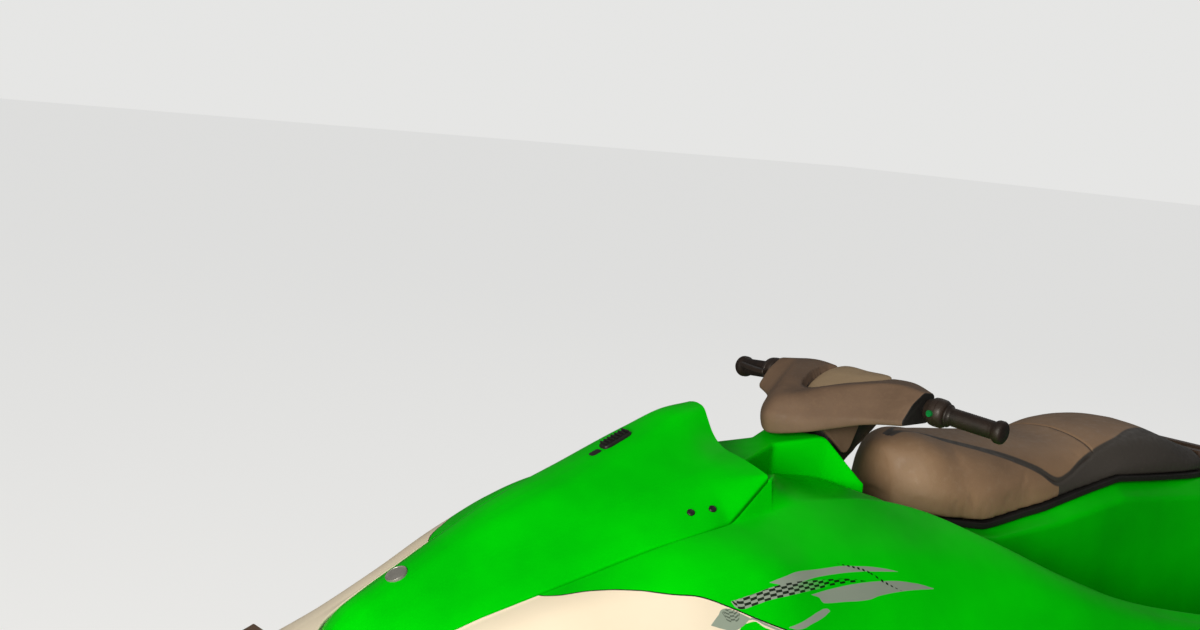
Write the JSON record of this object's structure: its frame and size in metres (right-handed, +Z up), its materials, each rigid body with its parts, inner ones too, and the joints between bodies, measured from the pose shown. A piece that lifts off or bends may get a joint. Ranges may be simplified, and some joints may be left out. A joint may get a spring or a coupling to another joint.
{
  "type": "personal watercraft",
  "caption": "Sit-down personal watercraft: V hull, deep deck with footwells, long stepped bench seat, padded handlebar on a tower, shield-shaped bow hood and jet pump with turning nozzle.",
  "frame": {"origin": "amidships on the centreline at the static waterline, 270 mm above the keel's lowest line", "axes": "+X forward to the bow along the length, +Y to port, +Z up from the water"},
  "size_m": [3.189, 1.144, 1.101],
  "materials": {
    "hull_black": "gloss black gelcoat",
    "deck_white": "gloss cream-white gelcoat, green on the upper front sides",
    "green": "gloss bright green",
    "taupe_rubber": "satin taupe rubber",
    "tan_rubber": "satin tan foam cover",
    "dark_rubber": "matte dark rubber",
    "mat_grey": "ribbed grey foam mat",
    "seat_taupe": "matte taupe marine vinyl",
    "black_plastic": "satin black plastic",
    "button_green": "gloss green",
    "badge_grey": "satin silver-grey, blank",
    "steel": "satin stainless steel",
    "alloy": "cast marine aluminium, painted grey",
    "engine_grey": "satin grey casting",
    "brown_plastic": "satin dark brown plastic"
  },
  "bodies": {
    "hull": {"hull": "hull_black", "deck": "deck_white", "hood_hinge": "steel", "rail_port": "green", "rail_starboard": "green", "bow_bumper": "taupe_rubber", "pump_housing": "alloy", "ride_plate": "alloy", "intake_grate": "alloy", "engine_block": "engine_grey", "sponson_port": "dark_rubber", "sponson_starboard": "dark_rubber", "bow_eye": "steel", "stern_eye_port": "steel", "stern_eye_starboard": "steel", "drain_plugs": "black_plastic", "fuel_cap": "black_plastic", "mat_port": "mat_grey", "mat_starboard": "mat_grey", "platform_mat": "mat_grey", "grab_handle": "brown_plastic", "steering_tower": "green", "display": "black_plastic", "glove_hinge": "steel"},
    "hood": {"hood": "green", "hood_latch": "black_plastic", "hood_badge": "badge_grey", "hood_plugs": "black_plastic"},
    "steering": {"handlebar": "steel", "handlebar_pad": "taupe_rubber", "pad_insert": "tan_rubber", "column_boot": "dark_rubber", "grip_port": "dark_rubber", "grip_starboard": "dark_rubber", "switch_housing": "black_plastic", "throttle_housing": "black_plastic", "throttle_lever": "black_plastic", "start_button": "button_green"},
    "nozzle": {"steering_nozzle": "alloy"},
    "bucket": {"reverse_bucket": "alloy"},
    "impeller": {"impeller": "steel"},
    "seat": {"seat_cushion": "seat_taupe", "seat_pan": "black_plastic"},
    "glove_lid": {"glove_lid": "black_plastic"}
  },
  "joints": [
    {"name": "hood_hinge", "type": "hinge", "parent": "hull", "child": "hood", "pos_m": [1.434, 0, 0.37], "axis": [0, 1, 0], "range_deg": [0, 45]},
    {"name": "steering", "type": "hinge", "parent": "hull", "child": "steering", "pos_m": [0.262, 0, 0.66], "axis": [-0.309, 0, 0.9511], "range_deg": [-20, 20]},
    {"name": "nozzle_turn", "type": "hinge", "parent": "hull", "child": "nozzle", "pos_m": [-1.44, 0, -0.145], "axis": [0, 0, 1], "range_deg": [-22, 22]},
    {"name": "bucket_turn", "type": "hinge", "parent": "hull", "child": "bucket", "pos_m": [-1.44, 0, -0.145], "axis": [0, -1, 0], "range_deg": [0, 75]},
    {"name": "impeller_spin", "type": "hinge", "parent": "hull", "child": "impeller", "pos_m": [-1.185, 0, -0.145], "axis": [1, 0, 0], "continuous": true},
    {"name": "seat_lift", "type": "slide", "parent": "hull", "child": "seat", "axis": [0, 0, 1], "range_m": [0, 0.3]},
    {"name": "glove_lid", "type": "hinge", "parent": "hull", "child": "glove_lid", "pos_m": [0.243, 0, 0.598], "axis": [0, 1, 0], "range_deg": [0, 60]}
  ],
  "couplings": [
    {"joint": "nozzle_turn", "follows": "steering", "ratio": -1.1}
  ]
}
